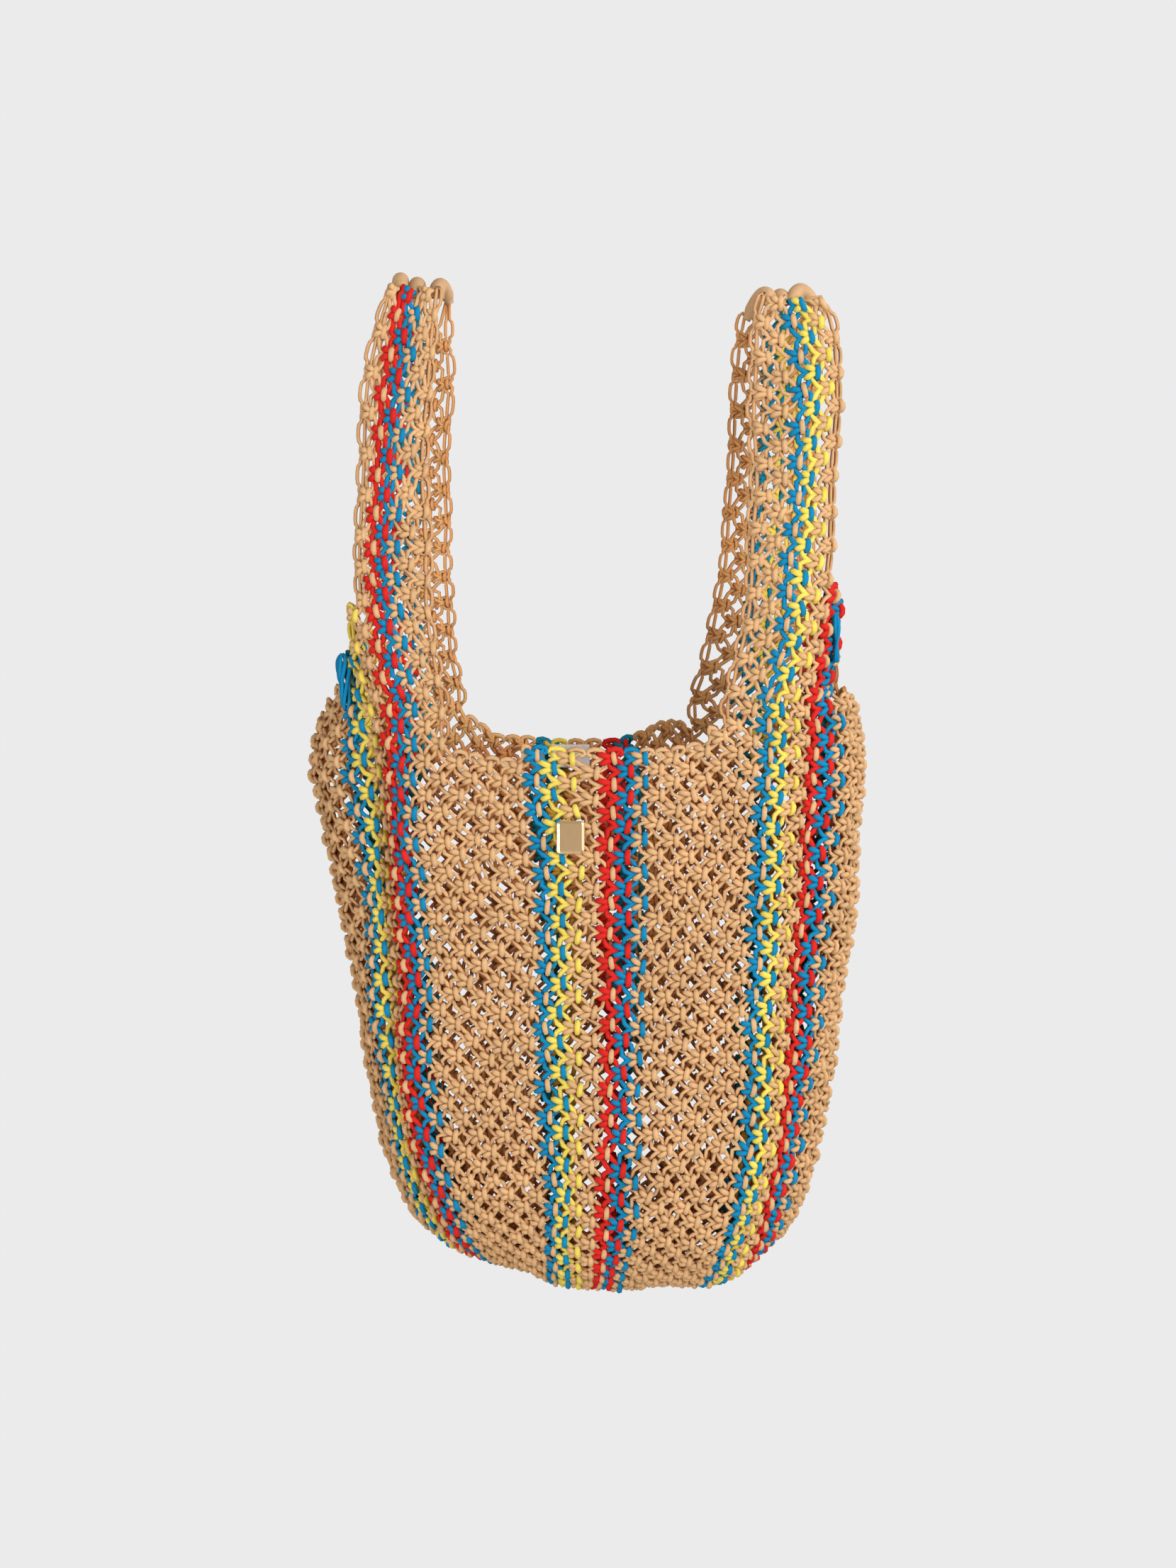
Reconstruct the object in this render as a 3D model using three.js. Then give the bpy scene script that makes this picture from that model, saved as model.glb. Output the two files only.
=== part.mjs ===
// Macrame shoulder bag, hanging by its two straps. Millimetres, +Z up, front towards -Y.
// The origin lies on the hang line, midway between the two strap crowns.
import * as THREE from 'three';
import { mergeVertices } from 'three/addons/utils/BufferGeometryUtils.js';

// Net: cord pairs knotted side by side, counted from the front middle, positive to the right
const netThickness = 6;
const pairsAround = 84;
const backMiddle = pairsAround / 2;
const cornerPair = 14;
const sidePair = 21;
const columnStep = 2;
const pieceGap = 0.3;

// Gaps in the net, cut at twice the pitch of the knots
const gapRowHeight = 16.8;
const gapRows = 12;
const firstGapRow = 291.6;
const gapHalfPairs = 0.72;
const gapHalfHeight = 6.2;

// Body below the hang line: sections down to the start of the rounded bottom
const bodySections = [
  { drop: 215, leftSide: -142, leftCorner: -122, middle: -3, rightCorner: 122, rightSide: 147, halfDepth: 56 },
  { drop: 262, leftSide: -157, leftCorner: -122, middle: -3, rightCorner: 122, rightSide: 161, halfDepth: 59 },
  { drop: 289, leftSide: -163, leftCorner: -122, middle: -3, rightCorner: 123, rightSide: 162, halfDepth: 60 },
  { drop: 322, leftSide: -159, leftCorner: -122, middle: -1, rightCorner: 125, rightSide: 160, halfDepth: 60 },
  { drop: 368, leftSide: -149, leftCorner: -121, middle: 2, rightCorner: 128, rightSide: 158, halfDepth: 61 },
  { drop: 415, leftSide: -139, leftCorner: -118, middle: 3, rightCorner: 126, rightSide: 152, halfDepth: 61 },
  { drop: 461, leftSide: -131, leftCorner: -115, middle: 4, rightCorner: 122, rightSide: 147, halfDepth: 60 },
  { drop: 508, leftSide: -122, leftCorner: -103, middle: 5, rightCorner: 113, rightSide: 139, halfDepth: 57 },
];
const bottomStart = 508;
const bottomArc = 118;
const bottomBands = 6;

// Form of one quarter of a section, from the middle past the corner to the side.
// The first and last rows lie past the quarter's ends, so that it runs smoothly into its mirror images.
const quarterStations = [
  { pair: -7, toCorner: -0.5, toSide: 0, depth: 0.965 },
  { pair: 0, toCorner: 0, toSide: 0, depth: 1 },
  { pair: 7, toCorner: 0.5, toSide: 0, depth: 0.965 },
  { pair: cornerPair, toCorner: 1, toSide: 0, depth: 0.86 },
  { pair: 17.5, toCorner: 1, toSide: 0.7, depth: 0.54 },
  { pair: sidePair, toCorner: 1, toSide: 1, depth: 0 },
  { pair: 24.5, toCorner: 1, toSide: 0.7, depth: -0.54 },
];

// Bottom seam where front and back are tied together
const seamStations = [
  { pair: -21, x: -106, z: -556 },
  { pair: -14, x: -70, z: -578 },
  { pair: -7, x: -30, z: -592 },
  { pair: 0, x: 11, z: -597 },
  { pair: 7, x: 50, z: -595 },
  { pair: 14, x: 86, z: -586 },
  { pair: 21, x: 121, z: -558 },
];

// Top edge of the body: scooped mouth, strap roots and armhole edges
const strapRoot = -252;
const topEdge = [
  { pair: 0, z: -280 },
  { pair: 3, z: -279 },
  { pair: 5, z: -274 },
  { pair: 7, z: -263 },
  { pair: 9, z: strapRoot },
  { pair: 15, z: strapRoot },
  { pair: 17, z: -230 },
  { pair: 19, z: -250 },
  { pair: sidePair, z: -262 },
];

// Strap legs from root to crown: each leg has its outer and inner edge, and both edges curl inwards
const strapSections = [
  {
    z: -252, depth: 56, curlOut: 9, curlIn: -1,
    leftFront: [-128, -77], leftBack: [-128, -77], rightFront: [128, 75], rightBack: [128, 75],
  },
  {
    z: -206, depth: 53, curlOut: 12, curlIn: 5,
    leftFront: [-138, -86], leftBack: [-133, -79], rightFront: [143, 86], rightBack: [136, 76],
  },
  {
    z: -131, depth: 42, curlOut: 13, curlIn: 9,
    leftFront: [-138, -91], leftBack: [-130, -77], rightFront: [146, 90], rightBack: [138, 80],
  },
  {
    z: -66, depth: 28, curlOut: 9, curlIn: 8,
    leftFront: [-131, -90], leftBack: [-126, -78], rightFront: [146, 91], rightBack: [140, 84],
  },
  {
    z: -24, depth: 14, curlOut: 1, curlIn: 1,
    leftFront: [-126, -86], leftBack: [-121, -79], rightFront: [144, 94], rightBack: [138, 89],
  },
  {
    z: -14, depth: 11, curlOut: 0, curlIn: 0,
    leftFront: [-123, -85], leftBack: [-120, -79], rightFront: [141, 98], rightBack: [138, 90],
  },
];
const strapHeads = { leftFront: -14, leftBack: -24, rightFront: -18, rightBack: -24 };
const legColumns = [0, 0.25, 0.5, 0.75, 1];
const legMargin = 12;
const loopsPerEdge = 6;
const loopHalfWidth = 0.062;
const loopHalfHeight = 13;

// Crown bundles: thread-wrapped cords that arch from their place on the front leg to that on the back leg
const bundleDiameter = 10;
const crownBundles = {
  left: [
    { front: -112, back: -110.5, rise: 16 },
    { front: -101, back: -99.6, rise: 12.2 },
    { front: -90, back: -84.5, rise: 12.8 },
  ],
  right: [
    { front: 103.8, back: 94.5, rise: 10.7 },
    { front: 114.4, back: 111, rise: 10.2 },
    { front: 125, back: 132, rise: 13.4 },
  ],
};
const bundleSides = 10;
const bundleSteps = 10;

// Wrapped cord ends on the armhole edges
const wrapDiameter = 8;
const wrapSpan = { from: 17.1, to: 18.9 };
const wrapSteps = 3;

// Small trim
const plate = { x: -10, z: -326, width: 16, height: 19, thickness: 2 };
const label = { x: -11, top: -280, width: 24, height: 14, thickness: 1 };

const colours = { sand: 0xd8ab78, wrap: 0xd0a472, blue: 0x0f86c0, gold: 0xd9b77c, label: 0xdcdcda };

// Smooth value of a table's column, with slopes from the neighbouring rows
function smoothAt(rows, key, column, at) {
  const last = rows.length - 2;
  const rising = rows[last + 1][key] > rows[0][key];
  let i = 0;
  while (i < last && (rising ? at > rows[i + 1][key] : at < rows[i + 1][key])) {
    i += 1;
  }
  const slope = (a) => (column(rows[a + 1]) - column(rows[a])) / (rows[a + 1][key] - rows[a][key]);
  const here = slope(i);
  const slopeStart = i > 0 ? (slope(i - 1) + here) / 2 : here;
  const slopeEnd = i < last ? (slope(i + 1) + here) / 2 : here;
  const span = rows[i + 1][key] - rows[i][key];
  const t = (at - rows[i][key]) / span;
  const bend = t * (1 - t) * span;
  const straight = column(rows[i]) + here * t * span;
  return straight + bend * ((slopeStart - here) * (1 - t) - (slopeEnd - here) * t);
}

// A pair's place on the front half: back pairs are the mirror image of front ones
function fold(pair) {
  const turned = ((pair + backMiddle) % pairsAround + pairsAround) % pairsAround - backMiddle;
  const behind = Math.abs(turned) > sidePair;
  const front = behind ? Math.sign(turned) * backMiddle - turned : turned;
  return { front, facing: behind ? 1 : -1 };
}

function sectionPoint(pair, drop) {
  const { front, facing } = fold(pair);
  const at = (name) => smoothAt(bodySections, 'drop', (row) => row[name], drop);
  const across = Math.abs(front);
  const toCorner = smoothAt(quarterStations, 'pair', (row) => row.toCorner, across);
  const toSide = smoothAt(quarterStations, 'pair', (row) => row.toSide, across);
  const depth = smoothAt(quarterStations, 'pair', (row) => row.depth, across);
  const hand = front < 0 ? 'left' : 'right';
  const corner = at(`${hand}Corner`);
  const x = at('middle') + (corner - at('middle')) * toCorner + (at(`${hand}Side`) - corner) * toSide;
  return new THREE.Vector3(x, facing * at('halfDepth') * depth, -drop);
}

function seamPoint(pair) {
  const { front } = fold(pair);
  const x = smoothAt(seamStations, 'pair', (row) => row.x, front);
  const z = smoothAt(seamStations, 'pair', (row) => row.z, front);
  return new THREE.Vector3(x, 0, z);
}

// Middle surface of the net: drop runs down the wall, then along the rounded bottom to the seam
function bodyPoint(pair, drop) {
  if (drop <= bottomStart) {
    return sectionPoint(pair, drop);
  }
  const turn = Math.min((drop - bottomStart) / bottomArc, 1) * Math.PI / 2;
  const start = sectionPoint(pair, bottomStart);
  const seam = seamPoint(pair);
  const sideways = (Math.cos(turn) + 1 - Math.sin(turn)) / 2;
  return new THREE.Vector3(
    seam.x + (start.x - seam.x) * sideways,
    start.y * Math.cos(turn),
    start.z + (seam.z - start.z) * Math.sin(turn),
  );
}

// Unit normal of a surface at (a, b), by small steps along both directions
function surfaceNormal(surface, a, b, step) {
  const alongA = surface(a + step, b).sub(surface(a - step, b));
  const alongB = surface(a, b + step).sub(surface(a, b - step));
  return alongB.cross(alongA).normalize();
}

// Collects the triangles of one closed solid
class Skin {
  constructor() {
    this.positions = [];
  }

  triangle(a, b, c) {
    this.positions.push(...a.toArray(), ...b.toArray(), ...c.toArray());
  }

  quad(a, b, c, d) {
    this.triangle(a, b, c);
    this.triangle(a, c, d);
  }

  // A four-cornered cell with a diamond gap: corners and gap points run the same way round
  ring(corners, gap) {
    for (let i = 0; i < 4; i += 1) {
      const next = (i + 1) % 4;
      this.triangle(corners[i], corners[next], gap[i]);
      this.triangle(corners[next], gap[next], gap[i]);
    }
  }

  geometry() {
    const loose = new THREE.BufferGeometry();
    loose.setAttribute('position', new THREE.Float32BufferAttribute(this.positions, 3));
    return mergeVertices(loose, 1e-3);
  }
}

// One cell of a net: outside and inside faces, with the walls of its gap if it has one
function addCell(skin, place, a0, a1, b0, b1, gap) {
  const cornersAt = (side) => [place(a0, b1, side), place(a1, b1, side), place(a1, b0, side), place(a0, b0, side)];
  const outside = cornersAt(1);
  const inside = cornersAt(-1);
  if (!gap) {
    skin.quad(...outside);
    skin.quad(...inside.reverse());
    return;
  }
  const a = (a0 + a1) / 2;
  const b = (b0 + b1) / 2;
  const gapAt = (side) => [
    place(a, b + gap.halfB, side),
    place(a + gap.halfA, b, side),
    place(a, b - gap.halfB, side),
    place(a - gap.halfA, b, side),
  ];
  const outer = gapAt(1);
  const inner = gapAt(-1);
  skin.ring(outside, outer);
  skin.ring([...inside].reverse(), [inner[2], inner[1], inner[0], inner[3]]);
  for (let i = 0; i < 4; i += 1) {
    const next = (i + 1) % 4;
    skin.quad(outer[i], outer[next], inner[next], inner[i]);
  }
}

function topDrop(pair) {
  const across = Math.abs(fold(pair).front);
  const i = Math.max(topEdge.findIndex((row) => row.pair >= across), 1);
  const t = (across - topEdge[i - 1].pair) / (topEdge[i].pair - topEdge[i - 1].pair);
  return -(topEdge[i - 1].z + (topEdge[i].z - topEdge[i - 1].z) * t);
}

// A point on the outside (side 1) or inside (side -1) of the body's net
function bodySkinPoint(pair, drop, side) {
  const half = side * netThickness / 2;
  const seamDrop = bottomStart + bottomArc;
  if (drop > seamDrop - 1e-6) {
    return seamPoint(pair).add(new THREE.Vector3(0, 0, -half));
  }
  const middle = bodyPoint(pair, drop);
  const outward = surfaceNormal(bodyPoint, pair, drop, 0.02);
  const point = middle.clone().addScaledVector(outward, half);
  const leastDepth = 0.35 * Math.abs(middle.y);
  point.y = Math.sign(middle.y) * Math.max(Math.abs(point.y), leastDepth);
  return point;
}

function bodyNet() {
  const skin = new Skin();
  const levels = [];
  for (let k = 0; k <= gapRows; k += 1) {
    levels.push(firstGapRow + gapRowHeight * k);
  }
  for (let k = 0; k <= bottomBands; k += 1) {
    levels.push(bottomStart + bottomArc * k / bottomBands);
  }
  const gap = { halfA: gapHalfPairs, halfB: gapHalfHeight };
  for (let pair = 1 - backMiddle; pair < backMiddle; pair += columnStep) {
    const next = pair + columnStep;
    const tops = [topDrop(pair), topDrop(next)];
    const rimAt = (side) => [
      bodySkinPoint(pair, tops[0], side).setZ(-tops[0]),
      bodySkinPoint(next, tops[1], side).setZ(-tops[1]),
    ];
    const footAt = (side) => [bodySkinPoint(pair, levels[0], side), bodySkinPoint(next, levels[0], side)];
    const [rimOut, rimIn, footOut, footIn] = [rimAt(1), rimAt(-1), footAt(1), footAt(-1)];
    skin.quad(footOut[0], footOut[1], rimOut[1], rimOut[0]);
    skin.quad(rimIn[0], rimIn[1], footIn[1], footIn[0]);
    skin.quad(rimOut[0], rimOut[1], rimIn[1], rimIn[0]);
    for (let k = 0; k + 1 < levels.length; k += 1) {
      const open = k < gapRows && ((pair + 1) / 2 + k) % 2 !== 0;
      addCell(skin, bodySkinPoint, pair, next, levels[k], levels[k + 1], open ? gap : null);
    }
  }
  return skin.geometry();
}

// Middle surface of a strap leg: across runs from left to right as seen from outside the strap
function legSurface(leg, facing, outerFirst) {
  return (across, drop) => {
    const at = (column) => smoothAt(strapSections, 'z', column, -drop);
    const fromOuter = outerFirst ? across : 1 - across;
    const outer = at((row) => row[leg][0]);
    const inner = at((row) => row[leg][1]);
    const curl = fromOuter < 0.5 ? at((row) => row.curlOut) : at((row) => row.curlIn);
    const depth = at((row) => row.depth) - curl * (2 * fromOuter - 1) ** 2;
    return new THREE.Vector3(outer + (inner - outer) * fromOuter, facing * depth, -drop);
  };
}

function strapLeg(hand, side) {
  const skin = new Skin();
  const facing = side === 'Front' ? -1 : 1;
  const surface = legSurface(hand + side, facing, (hand === 'left') === (facing < 0));
  const place = (across, drop, face) => {
    const point = surface(across, drop);
    const outward = surfaceNormal(surface, across, drop, 1e-3);
    point.addScaledVector(outward, face * netThickness / 2);
    return point.setZ(-drop);
  };
  const head = -strapHeads[hand + side];
  const foot = -strapRoot - pieceGap;
  const loopPitch = (foot - head - 2 * legMargin) / loopsPerEdge;
  const levels = [head];
  for (let k = 0; k <= loopsPerEdge; k += 1) {
    levels.push(head + legMargin + loopPitch * k);
  }
  levels.push(foot);
  const loop = { halfA: loopHalfWidth, halfB: loopHalfHeight };
  const lastColumn = legColumns.length - 2;
  for (let k = 0; k + 1 < levels.length; k += 1) {
    const [upper, lower] = [levels[k], levels[k + 1]];
    const loopRow = k > 0 && k + 2 < levels.length;
    for (let c = 0; c <= lastColumn; c += 1) {
      const open = loopRow && (c === 0 || c === lastColumn);
      addCell(skin, place, legColumns[c], legColumns[c + 1], upper, lower, open ? loop : null);
    }
    skin.quad(place(0, lower, 1), place(0, upper, 1), place(0, upper, -1), place(0, lower, -1));
    skin.quad(place(1, upper, 1), place(1, lower, 1), place(1, lower, -1), place(1, upper, -1));
  }
  for (let c = 0; c <= lastColumn; c += 1) {
    const [a0, a1] = [legColumns[c], legColumns[c + 1]];
    skin.quad(place(a0, head, 1), place(a1, head, 1), place(a1, head, -1), place(a0, head, -1));
    skin.quad(place(a1, foot, 1), place(a0, foot, 1), place(a0, foot, -1), place(a1, foot, -1));
  }
  return skin.geometry();
}

function roundSection(diameter) {
  return new THREE.Shape().absarc(0, 0, diameter / 2, 0, Math.PI * 2, false);
}

// A bundle's arch: it leaves both legs upright
class ArchCurve extends THREE.Curve {
  constructor(start, end, rise) {
    super();
    Object.assign(this, { start, end, rise });
  }

  getPoint(t, target = new THREE.Vector3()) {
    const turn = Math.PI * t;
    target.lerpVectors(this.start, this.end, (1 - Math.cos(turn)) / 2);
    target.z += this.rise * Math.sin(turn);
    return target;
  }
}

function tubeAlong(path, diameter) {
  return new THREE.ExtrudeGeometry(roundSection(diameter), {
    steps: bundleSteps,
    curveSegments: bundleSides / 2,
    extrudePath: path,
    bevelEnabled: false,
  });
}

function crownBundle(hand, { front, back, rise }) {
  const footAt = (x, side, facing) => {
    const z = strapHeads[hand + side];
    const depth = smoothAt(strapSections, 'z', (row) => row.depth, z);
    return new THREE.Vector3(x, facing * depth, z + pieceGap);
  };
  return tubeAlong(new ArchCurve(footAt(front, 'Front', -1), footAt(back, 'Back', 1), rise), bundleDiameter);
}

// Wrapped cord end that lies along the sloping armhole edge, just clear of it
function armholeWrap(hand) {
  const edgePoint = (pair) => bodyPoint(hand * pair, topDrop(hand * pair));
  const [upper, lower] = [edgePoint(wrapSpan.from), edgePoint(wrapSpan.to)];
  const level = Math.hypot(lower.x - upper.x, lower.y - upper.y) / upper.distanceTo(lower);
  const rise = (wrapDiameter / 2 + 3 * pieceGap) / level;
  const points = [];
  for (let k = 0; k <= wrapSteps; k += 1) {
    const pair = wrapSpan.from + (wrapSpan.to - wrapSpan.from) * k / wrapSteps;
    points.push(edgePoint(pair).add(new THREE.Vector3(0, 0, rise)));
  }
  return tubeAlong(new THREE.CatmullRomCurve3(points), wrapDiameter);
}

function frontPlate() {
  const pairAt = (x) => (x + 2) / 9;
  let front = 0;
  for (const x of [plate.x - plate.width / 2, plate.x, plate.x + plate.width / 2]) {
    for (const z of [plate.z - plate.height / 2, plate.z + plate.height / 2]) {
      front = Math.min(front, bodySkinPoint(pairAt(x), -z, 1).y);
    }
  }
  const geometry = new THREE.BoxGeometry(plate.width, plate.thickness, plate.height);
  return geometry.translate(plate.x, front - pieceGap - plate.thickness / 2, plate.z);
}

function innerLabel() {
  const wall = bodySkinPoint(backMiddle, -label.top, -1).y;
  const geometry = new THREE.BoxGeometry(label.width, label.thickness, label.height);
  return geometry.translate(label.x, wall - 2 * pieceGap - label.thickness / 2, label.top - label.height / 2);
}

function addPiece(group, name, geometry, color, roughness = 0.85, metalness = 0) {
  const mesh = new THREE.Mesh(geometry, new THREE.MeshStandardMaterial({ color, roughness, metalness }));
  mesh.name = name;
  group.add(mesh);
}

const bag = new THREE.Group();
addPiece(bag, 'body_net', bodyNet(), colours.sand);
for (const hand of ['left', 'right']) {
  addPiece(bag, `strap_${hand}_front`, strapLeg(hand, 'Front'), colours.sand);
  addPiece(bag, `strap_${hand}_back`, strapLeg(hand, 'Back'), colours.sand);
  crownBundles[hand].forEach((bundle, i) => {
    addPiece(bag, `crown_${hand}_${i + 1}`, crownBundle(hand, bundle), colours.wrap, 0.7);
  });
  addPiece(bag, `wrap_${hand}`, armholeWrap(hand === 'left' ? -1 : 1), colours.blue, 0.8);
}
addPiece(bag, 'front_plate', frontPlate(), colours.gold, 0.3, 1);
addPiece(bag, 'inner_label', innerLabel(), colours.label, 0.9);

export default bag;
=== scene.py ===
import math
import bmesh
import bpy
import numpy as np
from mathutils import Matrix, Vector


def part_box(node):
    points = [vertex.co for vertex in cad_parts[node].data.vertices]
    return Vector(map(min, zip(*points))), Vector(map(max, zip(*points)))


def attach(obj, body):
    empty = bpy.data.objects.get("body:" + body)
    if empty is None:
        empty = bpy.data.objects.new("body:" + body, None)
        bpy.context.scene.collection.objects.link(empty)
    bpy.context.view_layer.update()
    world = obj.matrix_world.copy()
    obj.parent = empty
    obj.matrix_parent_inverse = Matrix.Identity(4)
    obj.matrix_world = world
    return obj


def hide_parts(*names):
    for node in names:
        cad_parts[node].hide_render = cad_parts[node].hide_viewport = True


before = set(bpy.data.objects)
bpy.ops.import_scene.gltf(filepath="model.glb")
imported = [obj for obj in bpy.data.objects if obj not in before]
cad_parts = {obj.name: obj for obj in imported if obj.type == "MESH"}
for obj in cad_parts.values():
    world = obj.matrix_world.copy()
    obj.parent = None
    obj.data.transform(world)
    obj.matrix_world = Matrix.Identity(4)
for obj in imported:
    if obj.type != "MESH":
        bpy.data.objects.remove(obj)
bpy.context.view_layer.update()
print("frame loaded:", len(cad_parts), "nodes")

mm = 0.001  # the net is worked out in millimetres
chance = np.random.default_rng(41)

# Body of the bag: sections down from the hang line, then a rounded bottom that closes in a seam
bagForm = {
    "drop": [215, 262, 289, 322, 368, 415, 461, 508],
    "pair": [-23, -21, -19, -16.5, -15.5, -14, -12.5, -11.5, -2.5,
             2.5, 11.5, 12.5, 14, 15.5, 16.5, 19, 21, 23],
    "across": [
        [-146, -150, -146, -132, -126, -119, -110, -103, -27, 24, 99, 108, 117, 127, 134, 147, 152, 147],
        [-151, -157, -151, -136, -129, -120, -113, -106, -28, 24, 105, 113, 124, 134, 141, 153, 158, 153],
        [-155, -162, -155, -134, -126, -118, -112, -106, -27, 25, 105, 112, 122, 131, 139, 154, 161, 154],
        [-148, -154, -148, -130, -123, -116, -111, -105, -25, 25, 103, 111, 120, 129, 137, 151, 157, 151],
        [-138, -143, -138, -124, -119, -113, -107, -101, -22, 25, 100, 109, 118, 127, 135, 149, 155, 149],
        [-132, -136, -132, -121, -116, -110, -105, -98, -22, 23, 97, 105, 113, 122, 129, 143, 149, 143],
        [-126, -129, -126, -118, -113, -108, -103, -96, -22, 23, 98, 105, 112, 119, 125, 138, 145, 138],
        [-117, -120, -117, -111, -107, -102, -97, -91, -20, 22, 95, 101, 107, 114, 118, 129, 135, 129],
    ],
    "backPull": {
        "pair": [-21, -15, -8, -2, 2, 8, 15, 21],
        "inward": [0, 1, 3, 0, 0, -15, -5, 0],
        "from": 262,
        "to": 335,
    },
    "halfDepth": [56, 59, 60, 60, 61, 61, 60, 57],
    "quarterPair": [-7, 0, 7, 12.5, 16.5, 19, 21, 23],
    "depthShare": [0.965, 1, 0.965, 0.9, 0.68, 0.4, 0, -0.4],
    "creasePair": 14.3,
    "creaseWidth": 1.1,
    "creaseLeft": 9,
    "creaseRight": 6,
    "creaseShare": [0.3, 0.6, 0.8, 1, 1, 1, 0.9, 0.5],
    "seamPair": [-21, -14, -7, 0, 7, 14, 21],
    "seamX": [-96, -69, -39, -2, 40, 84, 112],
    "seamZ": [-553, -574, -584, -595, -595, -588, -562],
    "bottomStart": 508,
    "bottomArc": 118,
    "pairsAround": 84,
    "sidePair": 21,
}

# Strap legs: drop of each section, its depth, the curl of its edges, each leg's outer and inner edge,
# and how far the pairs crowd towards the outer edge
strapForm = {
    "drop": [4, 14, 24, 66, 131, 206, 252],
    "depth": [14.5, 16.5, 16, 28, 42, 53, 56],
    "curlOut": {"leftFront": [0, 0, 1, 3, 4, 9, 9], "others": [0, 0, 2, 12, 17, 16, 11]},
    "curlIn": [0, 0, 1, 8, 9, 5, -1],
    "edges": {
        "leftFront": ([-116.5, -120, -123.5, -132.5, -135.5, -133.5, -126],
                      [-85, -85, -86, -90, -91, -86, -77]),
        "leftBack": ([-120, -120, -121, -126, -130, -133, -128], [-78, -77.5, -79, -76.5, -81, -77.5, -70.5]),
        "rightFront": ([132.5, 137.5, 144, 148.3, 145, 138, 127], [100, 98, 94, 91, 90, 86, 75]),
        "rightBack": ([138, 138, 138, 140, 138, 136, 128], [91, 90, 86, 83.5, 81, 70, 58.5]),
    },
    "crowding": {
        "leftFront": [0, 0, 0, -0.1, 0.15, 0.35, 0.3],
        "leftBack": [0, 0, 0.1, 0.2, 0.28, 0.25, 0.1],
        "rightFront": [0.2, 0.2, 0.23, 0.37, 0.35, 0.2, 0.35],
        "rightBack": [0, 0, 0, -0.05, -0.1, -0.1, 0],
    },
    "backOverhang": 0.5,
    "headDrop": {"leftFront": 10, "leftBack": 27, "rightFront": 14, "rightBack": 27},
    "innerPair": 8,
    "outerPair": 15,
    "blendFrom": 236,
    "blendTo": 262,
    "blendPairs": (17, 18.5),
}

# Rows of knots and their drops: two half-rows make one repeat of the alternating square knots
netRows = {
    "body": ([-4, 0, 2, 4, 28], [251.2, 280, 294.4, 310.8, 525.6]),
    "leftFront": ([-25, -17, -13, -7, -1, 4], [11.6, 105, 151, 207, 263, 310.8]),
    "leftBack": ([-26, -22, -16, -8, -2, 4], [40.6, 85, 141.5, 210, 256.5, 310.8]),
    "rightFront": ([-27, -16, -4, -2, 4], [16.6, 130.5, 243, 262, 310.8]),
    "rightBack": ([-26, -14, -4, 4], [35, 158.8, 249, 310.8]),
    "legPairs": (4, 8),
    "backRim": ([-8, -5.7, -4, -2.4, 0, 1.3, 3.3, 5.3, 6.5, 8], [0, 8, 4.5, 5.5, 7.5, 9, 4, -3, -4, -3]),
    "backRimRow": -1,
    "headHeight": 9.5,
    "bodyHeight": 8.95,
    "bottomHeight": 6.4,
    "bottomSoft": 2.5,
    "lastShare": 0.95,
    "firstTries": (-34, 10),
    "lastTries": (20, 60),
}

tiny = 1e-9  # keeps a length from being zero


def smoothAt(stations, values, at):  # smooth curve through a short table
    stations, values = np.asarray(stations, float), np.asarray(values, float)
    at = np.clip(at, stations[0], stations[-1])
    slopes = np.diff(values) / np.diff(stations)
    last = len(slopes) - 1
    i = np.clip(np.searchsorted(stations, at) - 1, 0, last)
    here = slopes[i]
    startSlope = (slopes[np.maximum(i - 1, 0)] + here) / 2
    endSlope = (slopes[np.minimum(i + 1, last)] + here) / 2
    span = stations[i + 1] - stations[i]
    t = (at - stations[i]) / span
    bend = t * (1 - t) * span
    return values[i] + here * t * span + bend * ((startSlope - here) * (1 - t) - (endSlope - here) * t)


def smoothStep(low, high, at):
    t = np.clip((at - low) / (high - low), 0, 1)
    return t * t * (3 - 2 * t)


def foldPairs(pairs):  # back pairs mirror front ones; facing is -1 on the front
    around, side = bagForm["pairsAround"], bagForm["sidePair"]
    turned = (np.asarray(pairs, float) + around / 2) % around - around / 2
    behind = np.abs(turned) > side
    front = np.where(behind, np.sign(turned) * around / 2 - turned, turned)
    return front, np.where(behind, 1.0, -1.0)


def sectionPoints(pairs, drops):
    front, facing = foldPairs(pairs)
    drops = np.clip(drops, bagForm["drop"][0], bagForm["drop"][-1])
    station = np.interp(drops, bagForm["drop"], np.arange(len(bagForm["drop"])))
    x = np.zeros(np.shape(front))
    for i, places in enumerate(bagForm["across"]):  # each section counts most at its own drop
        x = x + smoothAt(bagForm["pair"], places, front) * np.maximum(1 - np.abs(station - i), 0)
    pull = bagForm["backPull"]
    inward = np.interp(front, pull["pair"], pull["inward"]) * (1 - smoothStep(pull["from"], pull["to"], drops))
    x = x + np.where(facing > 0, inward, 0)
    depth = smoothAt(bagForm["drop"], bagForm["halfDepth"], drops)
    depth = depth * smoothAt(bagForm["quarterPair"], bagForm["depthShare"], np.abs(front))
    crease = np.where(front < 0, bagForm["creaseLeft"], bagForm["creaseRight"])
    crease = crease * np.interp(drops, bagForm["drop"], bagForm["creaseShare"])
    crease = crease * np.exp(-(((np.abs(front) - bagForm["creasePair"]) / bagForm["creaseWidth"]) ** 2))
    return np.stack([x, facing * (depth - crease), -drops], axis=-1)


def seamPoints(pairs):
    front, _ = foldPairs(pairs)
    x = smoothAt(bagForm["seamPair"], bagForm["seamX"], front)
    z = smoothAt(bagForm["seamPair"], bagForm["seamZ"], front)
    return np.stack([x, np.zeros_like(x), z], axis=-1)


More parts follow.
